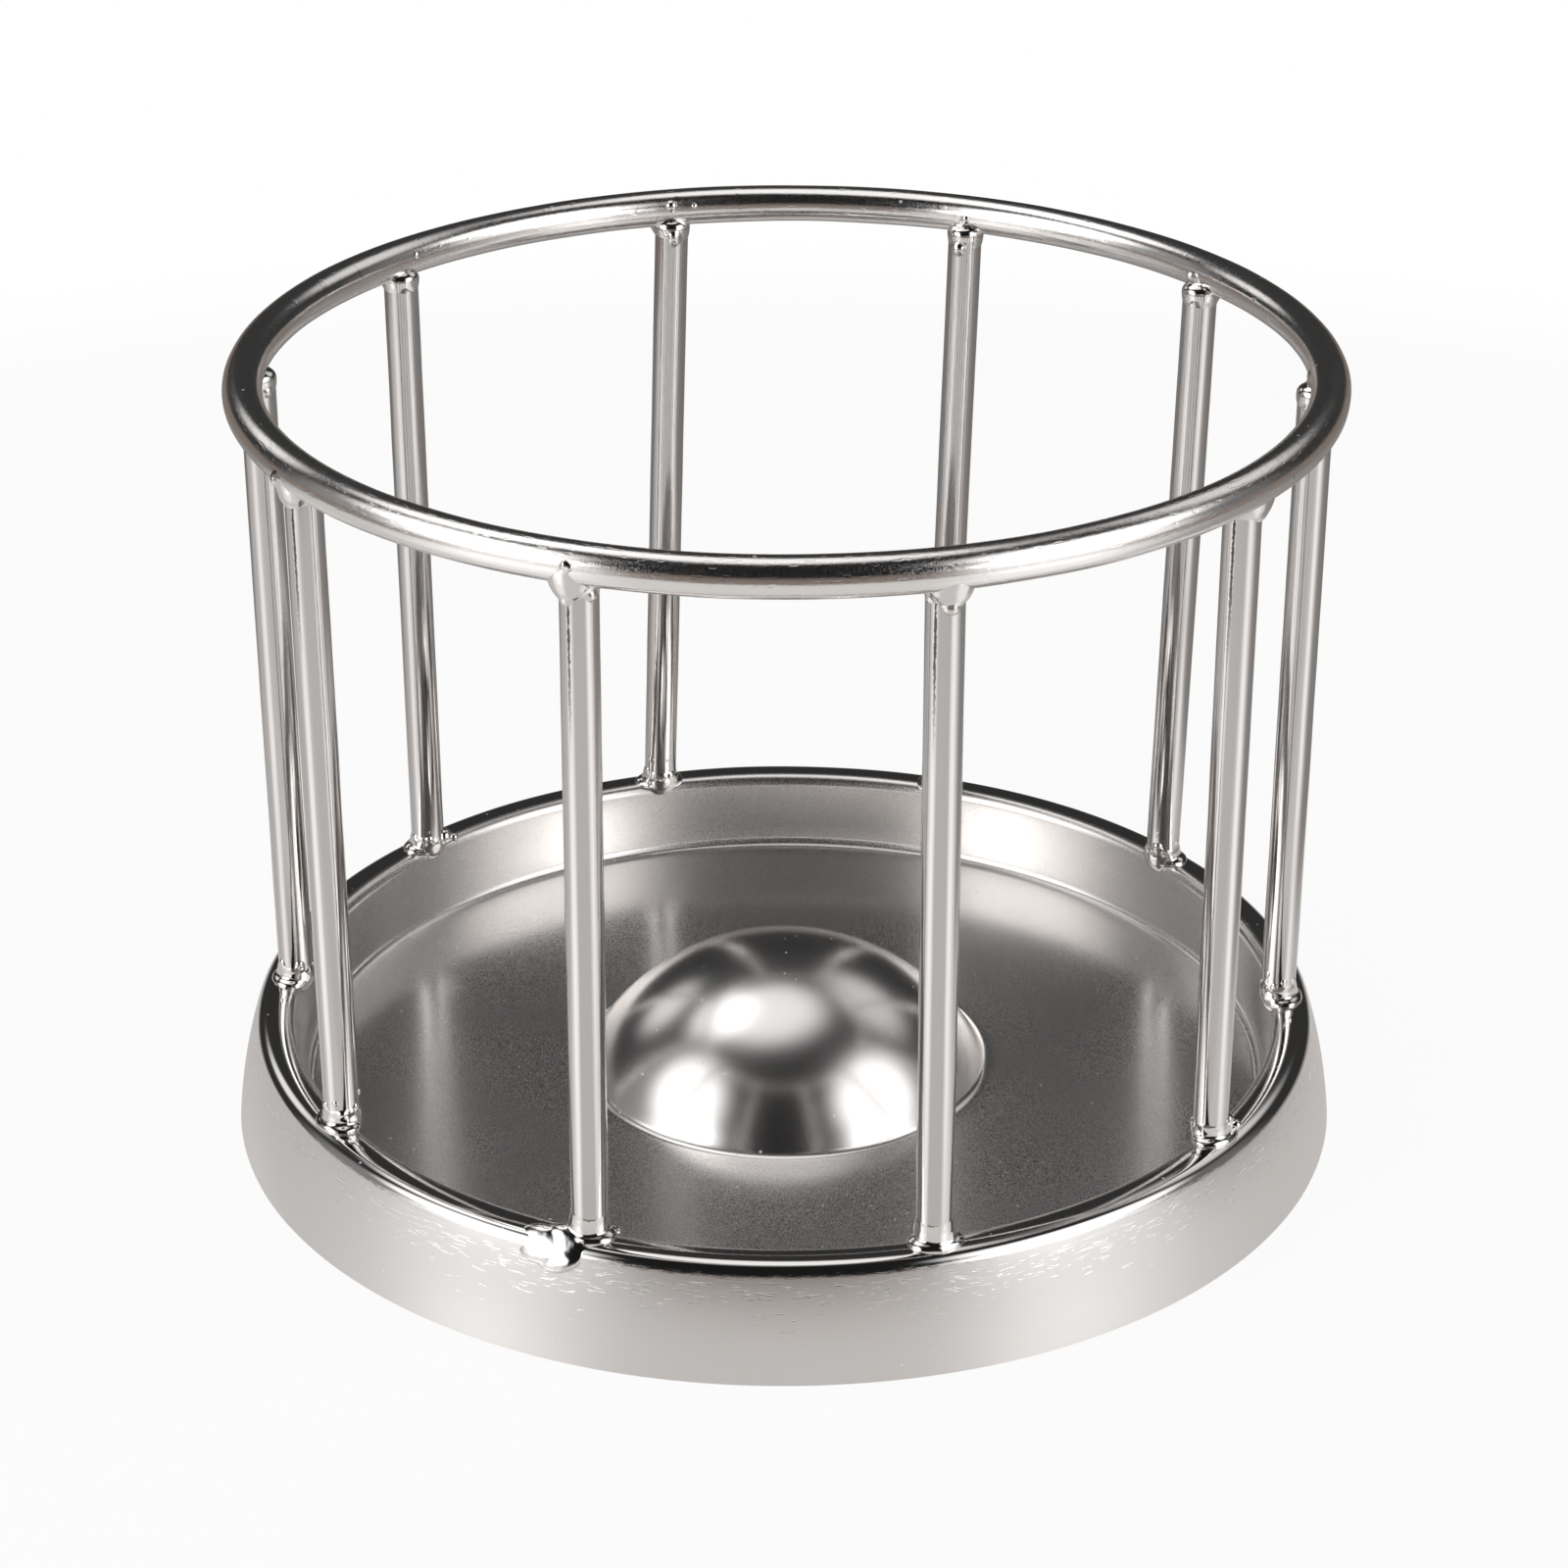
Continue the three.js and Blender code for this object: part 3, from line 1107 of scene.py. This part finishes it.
# %% Shapes of the foot welds
FOOT_LOBES = [
    [(1.2, 0.3, 0.6, 0.5), (2.4, 0.0, 0.8, 0.4)],
    [(-1.4, 1.0, 0.6, 0.9), (1.3, 0.8, 0.7, 1.0), (-0.4, 0.4, 0.6, 0.5)],
    [(1.75, 1.7, 0.62, 0.62), (2.6, 1.1, 0.6, 0.5), (-1.6, 1.6, 0.5, 0.6), (0.4, 1.2, 0.6, 0.6)],
    [(-1.1, 3.3, 0.5, 0.5), (-1.2, 2.4, 0.45, 0.45), (-0.5, 2.1, 0.5, 0.5), (0.3, 2.6, 0.5, 0.5),
     (1.2, 2.5, 0.5, 0.5)],
    [(-0.6, 3.8, 0.5, 0.5), (-0.6, 2.2, 0.7, 0.7), (1.2, 2.5, 0.55, 0.55)],
    [(-0.9, 2.0, 0.55, 0.55), (1.0, 1.8, 0.6, 0.6)],
    [(-1.2, 2.0, 0.55, 0.55), (1.1, 1.3, 0.75, 0.75), (-0.9, 3.6, 0.45, 0.45),
     (0.8, 3.5, 0.45, 0.45)],
    [(-1.1, 1.7, 0.6, 0.6), (0.3, 1.6, 0.6, 0.6), (1.8, 1.2, 1.05, 1.0), (3.0, 1.1, 0.55, 0.55),
     (0.2, 2.6, 0.45, 0.45)],
    [(-1.1, 2.3, 0.6, 0.6), (0.5, 2.3, 0.6, 0.6), (-0.5, 1.5, 0.5, 0.45), (0.3, 1.1, 0.5, 0.5)],
    [(-1.3, 2.3, 0.6, 0.65), (-0.4, 2.9, 0.5, 0.5), (0.2, 1.6, 0.65, 0.6), (1.3, 2.2, 0.55, 0.55),
     (1.6, 3.4, 0.45, 0.5)],
]
COLLARS = [3.6, 4.0, 2.8, 2.8, 2.6, 2.6, 2.4, 2.4, 2.6, 2.8]
SMEAR = [
    (-2.2, 2.6, -0.95, 2.9, 2.5, 0.8, 0.85),
    (-0.7, 1.6, -0.3, 2.2, 1.5, 0.7, 0.35),
    (-4.0, 2.5, -0.9, 3.1, 2.0, 0.7, 0.8),
]
SPATTER = [
    (2.6, 2.6, -1.0, 0.45), (3.3, 2.9, -1.2, 0.4), (3.9, 2.4, -0.8, 0.35), (4.4, 3.0, -1.3, 0.32),
]

# %% Foot welds
COLLAR_UP, COLLAR_WIDE = 0.8, 2.08
MOUND_OUT = 0.5
MOUND_SIZE = (2.9, 2.2, 0.95)
FOOT_REACH = 1.5
FOOT_BACK_LOW, FOOT_BACK_HIGH, FOOT_BACK_COUNT = 0.4, 2.2, 1
SMEAR_TURN = -0.2
FOOT_FLOW = 6
FOOT_RIPPLE = 0.12 * MM


def foot_weld_lumps(foot, lobes, collar):
    centre = foot / MM
    seat = rim_height / MM
    angle, _, outward = cage_directions(foot)
    mound = centre + outward * MOUND_OUT
    return [
        ball((centre.x, centre.y, seat + COLLAR_UP), (COLLAR_WIDE, COLLAR_WIDE, collar)),
        ball((mound.x, mound.y, seat), MOUND_SIZE, (0, 0, angle)),
        *front_lobes(centre, seat, lobes, FOOT_REACH),
        *back_lobes(centre, seat, FOOT_BACK_LOW, FOOT_BACK_HIGH, FOOT_BACK_COUNT, FOOT_REACH),
    ]


def smear_lumps(foot):
    angle, along, outward = cage_directions(foot)
    seat = Vector((foot.x, foot.y, rim_height)) / MM
    lumps = []
    for ahead, out, up, wide, deep, thick, tilt in SMEAR:
        place = seat + along * ahead + outward * out + Vector((0, 0, up))
        lumps.append(ball(place, (wide, deep, thick), (tilt, 0, angle + SMEAR_TURN)))
    for ahead, out, up, size in SPATTER:
        place = seat + along * ahead + outward * out + Vector((0, 0, up))
        lumps.append(ball(place, (size, size, size)))
    return lumps


random.seed(23)
for name, (foot, _), lobes, collar in zip(post_names, post_places, FOOT_LOBES, COLLARS):
    lumps = foot_weld_lumps(foot, lobes, collar)
    if name == post_names[0]:
        lumps += smear_lumps(foot)
    bead = melt(lumps, name + "_foot_skin", FOOT_FLOW, FOOT_RIPPLE)
    node = name.replace("post", "foot_weld")
    finish_piece(bead, name.replace("post", "foot_bead"), node, weld_steel)
print("foot welds made", len(post_names))

# %% [markdown]
# ## Table
# Bright steel only shows what is round it, so the table matters as much as the metal. To the camera it
# is plain white with a soft shadow. In the steel's reflections it glows with painted light and shade,
# as a lit table looks: a painted lighter front, painted shade at the back and far right, two painted
# beams of white light on either side of the camera, and a brown ground beyond its border. Light Path
# tells the two apart. A little gloss is kept for reflections, so the dish has a shadow but no mirror
# image.

# %% Painted light on the table in reflections
# Painted light and shade: these values are how lit the table looks to the steel, not colours of the
# table. They are lighter where light pools at the front and sides, and darker in painted shade at the
# back and far right.
PAINTED_LIGHT_LEFT = opaque(0.78, 0.765, 0.75)
PAINTED_LIGHT_NEAR_RIGHT = opaque(0.85, 0.83, 0.81)
PAINTED_SHADE_FAR_RIGHT = opaque(0.38, 0.37, 0.36)
PAINTED_LIGHT_FRONT_LEFT = opaque(0.90, 0.885, 0.87)
PAINTED_LIGHT_FRONT_RIGHT = opaque(0.87, 0.855, 0.84)
PAINTED_SHADE_BACK = opaque(0.30, 0.29, 0.28)
GROUND = opaque(0.26, 0.215, 0.19)
PAINTED_BEAM = opaque(1.0, 0.99, 0.98)
RIGHT_FROM = (-0.02, 0.12)
FRONT_FROM = (-0.10, 0.0)
BACK_BEGINS = (0.02, 0.12)
NEAR_ENDS = (0.085, 0.12)
BEAM_INNER = (0.42, 0.62)
BEAM_OUTER = (0.84, 0.97)
BEAM_ENDS = (-0.06, -0.03)


def painted_light_on_table(tree, place, length, away):
    x, y, _ = separate(tree, place)
    right = spread(tree, x, *RIGHT_FROM)
    front = spread(tree, y, *FRONT_FROM, 1.0, 0.0)
    back = spread(tree, y, *BACK_BEGINS)
    near = spread(tree, length, *NEAR_ENDS, 1.0, 0.0)
    right_side = blend_colour(tree, near, PAINTED_SHADE_FAR_RIGHT, PAINTED_LIGHT_NEAR_RIGHT)
    sides = blend_colour(tree, right, PAINTED_LIGHT_LEFT, right_side)
    before = blend_colour(tree, right, PAINTED_LIGHT_FRONT_LEFT, PAINTED_LIGHT_FRONT_RIGHT)
    table = blend_colour(tree, front, blend_colour(tree, back, sides, PAINTED_SHADE_BACK), before)
    ground = blend_colour(tree, away, table, GROUND)
    aside = math_node(tree, "DIVIDE", math_node(tree, "ABSOLUTE", x), length)
    # Painted beams: two wedges of white light painted on the table, seen only in reflections.
    painted_beam_mask = times(tree, spread(tree, aside, *BEAM_INNER), spread(tree, aside, *BEAM_OUTER, 1.0, 0.0))
    before_dish = spread(tree, y, *BEAM_ENDS, 1.0, 0.0)
    return blend_colour(tree, times(tree, painted_beam_mask, before_dish), ground, PAINTED_BEAM)


# %% Table material
TABLE_REACH = 0.27
TABLE_BORDER = 0.03
WHITE = opaque(1.0, 1.0, 1.0)
TABLE_PAINT = opaque(0.9, 0.9, 0.9)
SHOWN_NEAR, SHOWN_AWAY, SHOWN_REFLECTED = 0.92, 1.0, 0.95
TABLE_GLOSS = 0.18
GLOSS_ROUGHNESS = 0.12


def mix_shaders(tree, share, first, second):
    node = add_node(tree, "ShaderNodeMixShader")
    tree.links.new(share, node.inputs[0])
    tree.links.new(first, node.inputs[1])
    tree.links.new(second, node.inputs[2])
    return node.outputs[0]


def make_table_white():
    material = bpy.data.materials.new("floor_white")
    material.use_nodes = True
    tree = material.node_tree
    tree.nodes.clear()
    place = add_node(tree, "ShaderNodeTexCoord").outputs["Object"]
    measure = add_node(tree, "ShaderNodeVectorMath", operation="LENGTH")
    tree.links.new(place, measure.inputs[0])
    length = measure.outputs["Value"]
    away = spread(tree, length, TABLE_REACH - TABLE_BORDER, TABLE_REACH + TABLE_BORDER)
    rays = add_node(tree, "ShaderNodeLightPath").outputs
    glossy = rays["Is Glossy Ray"]
    seen = math_node(tree, "MAXIMUM", rays["Is Camera Ray"], glossy)
    seen = math_node(tree, "MAXIMUM", seen, rays["Is Transmission Ray"])
    paint = add_node(tree, "ShaderNodeBsdfDiffuse")
    paint.inputs["Color"].default_value = TABLE_PAINT
    glow = add_node(tree, "ShaderNodeEmission")
    reflected = painted_light_on_table(tree, place, length, away)
    tree.links.new(blend_colour(tree, glossy, WHITE, reflected), glow.inputs["Color"])
    shown = blend(tree, glossy, blend(tree, away, SHOWN_NEAR, SHOWN_AWAY), SHOWN_REFLECTED)
    table = mix_shaders(tree, times(tree, seen, shown), paint.outputs[0], glow.outputs[0])
    gloss = add_node(tree, "ShaderNodeBsdfGlossy")
    gloss.inputs["Roughness"].default_value = GLOSS_ROUGHNESS
    top = mix_shaders(tree, times(tree, glossy, TABLE_GLOSS), table, gloss.outputs[0])
    output = add_node(tree, "ShaderNodeOutputMaterial")
    tree.links.new(top, output.inputs["Surface"])
    return material


# %% Table
FLOOR_SIZE = 12.0
FLOOR_LEVEL = -0.1 * MM

clear_selection()
bpy.ops.mesh.primitive_plane_add(size=FLOOR_SIZE, location=(0, 0, FLOOR_LEVEL))
floor = bpy.context.object
floor.name = "floor"
floor.data.materials.append(make_table_white())
print("floor at", floor.location.z)


# %% [markdown]
# ## Soft boxes
# On either side of the camera stand a large soft box, a low panel and a smaller bright lamp. Two
# boxes hang over the back and two cards stand behind. A soft box is brightest in its middle and
# fades to its border. An area lamp is even all over, so its strength is taken from the place on the
# lamp, through the lamp's own nodes. Each box is listed by its direction in degrees, its distance
# in metres, half its width and height as seen from the dish, its brightness and its bright core.

# %% Soft box helpers
LAMP_MIDDLE = (0.5, 0.5, 0.0)
LAMP_BORDER = 0.5


def fade_to_border(data, core):
    data.use_nodes = True
    tree = data.node_tree
    tree.nodes.clear()
    spot = add_node(tree, "ShaderNodeNewGeometry").outputs["Parametric"]
    offset = add_node(tree, "ShaderNodeVectorMath", operation="DISTANCE")
    tree.links.new(spot, offset.inputs[0])
    offset.inputs[1].default_value = LAMP_MIDDLE
    glow = add_node(tree, "ShaderNodeEmission")
    faded = spread(tree, offset.outputs["Value"], core, LAMP_BORDER, 1.0, 0.0)
    tree.links.new(faded, glow.inputs["Strength"])
    output = add_node(tree, "ShaderNodeOutputLight")
    tree.links.new(glow.outputs[0], output.inputs["Surface"])


def soft_box(name, azimuth, elevation, distance, half_wide, half_tall, radiance, core):
    data = bpy.data.lights.new(name, "AREA")
    data.shape = "RECTANGLE"
    data.size = 2 * distance * math.tan(math.radians(half_wide))
    data.size_y = 2 * distance * math.tan(math.radians(half_tall))
    data.energy = radiance * math.pi * data.size * data.size_y
    fade_to_border(data, core)
    lamp = bpy.data.objects.new(name, data)
    bpy.context.scene.collection.objects.link(lamp)
    a, e = math.radians(azimuth), math.radians(elevation)
    away = Vector((math.sin(a) * math.cos(e), -math.cos(a) * math.cos(e), math.sin(e)))
    lamp.location = CAMERA_AIM + away * distance
    lamp.rotation_euler = away.to_track_quat("Z", "Y").to_euler()


# %% Soft boxes
SOFT_BOXES = [
    ("right_box", 67, 39, 0.80, 29, 25, 1.9, 0.22),
    ("right_panel", 58, 7, 0.95, 30, 24, 0.92, 0.25),
    ("right_lamp", 50, 18, 0.75, 22, 16, 3.3, 0.08),
    ("left_box", -70, 37, 0.70, 27, 24, 2.0, 0.20),
    ("left_panel", -58, 7, 0.95, 30, 24, 0.92, 0.25),
    ("left_lamp", -54, 20, 0.65, 22, 17, 3.3, 0.12),
    ("back_box", -162, 75, 0.80, 28, 25, 1.1, 0.22),
    ("back_left_box", -126, 58, 0.80, 19, 17, 1.4, 0.22),
    ("rear_left_card", -136, 28, 0.90, 16, 13, 1.0, 0.15),
    ("rear_right_card", 137, 43, 0.90, 25, 18, 0.75, 0.15),
]
for box in SOFT_BOXES:
    soft_box(*box)
print("soft boxes", len(SOFT_BOXES))

# %% [markdown]
# ## Room
# The camera sees a white background. The steel sees a dark room with a grey wall on either side and
# something low and brown in front, which gives the wires their dark lines between the lights. A
# picture of a room could be wrapped round the scene, but a few ranges of the direction do as well.

# %% World
DIM_FRONT, DIM_BACK = 0.012, 0.035
FRONT_TO_BACK = (-0.3, 0.5)
WALL_LEFT, WALL_RIGHT = 0.26, 0.17
LEFT_TO_RIGHT = (-0.2, 0.2)
WALLS_BEGIN = (0.72, 0.90)
WALLS_END = (0.2, 0.5)
LOW_BROWN = opaque(0.22, 0.18, 0.16)
BROWN_TOP = (0.06, 0.36)
BROWN_SIDE = (-0.93, -0.75)

world = bpy.data.worlds.new("studio")
bpy.context.scene.world = world
world.use_nodes = True
sky = world.node_tree
sky.nodes.clear()
x, y, z = separate(sky, add_node(sky, "ShaderNodeTexCoord").outputs["Generated"])
dim = spread(sky, y, *FRONT_TO_BACK, DIM_FRONT, DIM_BACK)
beside = spread(sky, math_node(sky, "ABSOLUTE", x), *WALLS_BEGIN)
beside = times(sky, beside, spread(sky, y, *WALLS_END, 1.0, 0.0))
walls = blend(sky, spread(sky, x, *LEFT_TO_RIGHT), WALL_LEFT, WALL_RIGHT)
low = spread(sky, z, *BROWN_TOP, 1.0, 0.0)
ahead = spread(sky, y, *BROWN_SIDE, 1.0, 0.0)
room = blend_colour(sky, beside, dim, walls)
room = blend_colour(sky, times(sky, low, ahead), room, LOW_BROWN)
camera_ray = add_node(sky, "ShaderNodeLightPath").outputs["Is Camera Ray"]
background = add_node(sky, "ShaderNodeBackground")
sky.links.new(blend_colour(sky, camera_ray, room, WHITE), background.inputs["Color"])
output = add_node(sky, "ShaderNodeOutputWorld")
sky.links.new(background.outputs[0], output.inputs["Surface"])
print("world", world.name)

# %% [markdown]
# The Standard view shows a colour as it is written.

bpy.context.scene.view_settings.view_transform = "Standard"
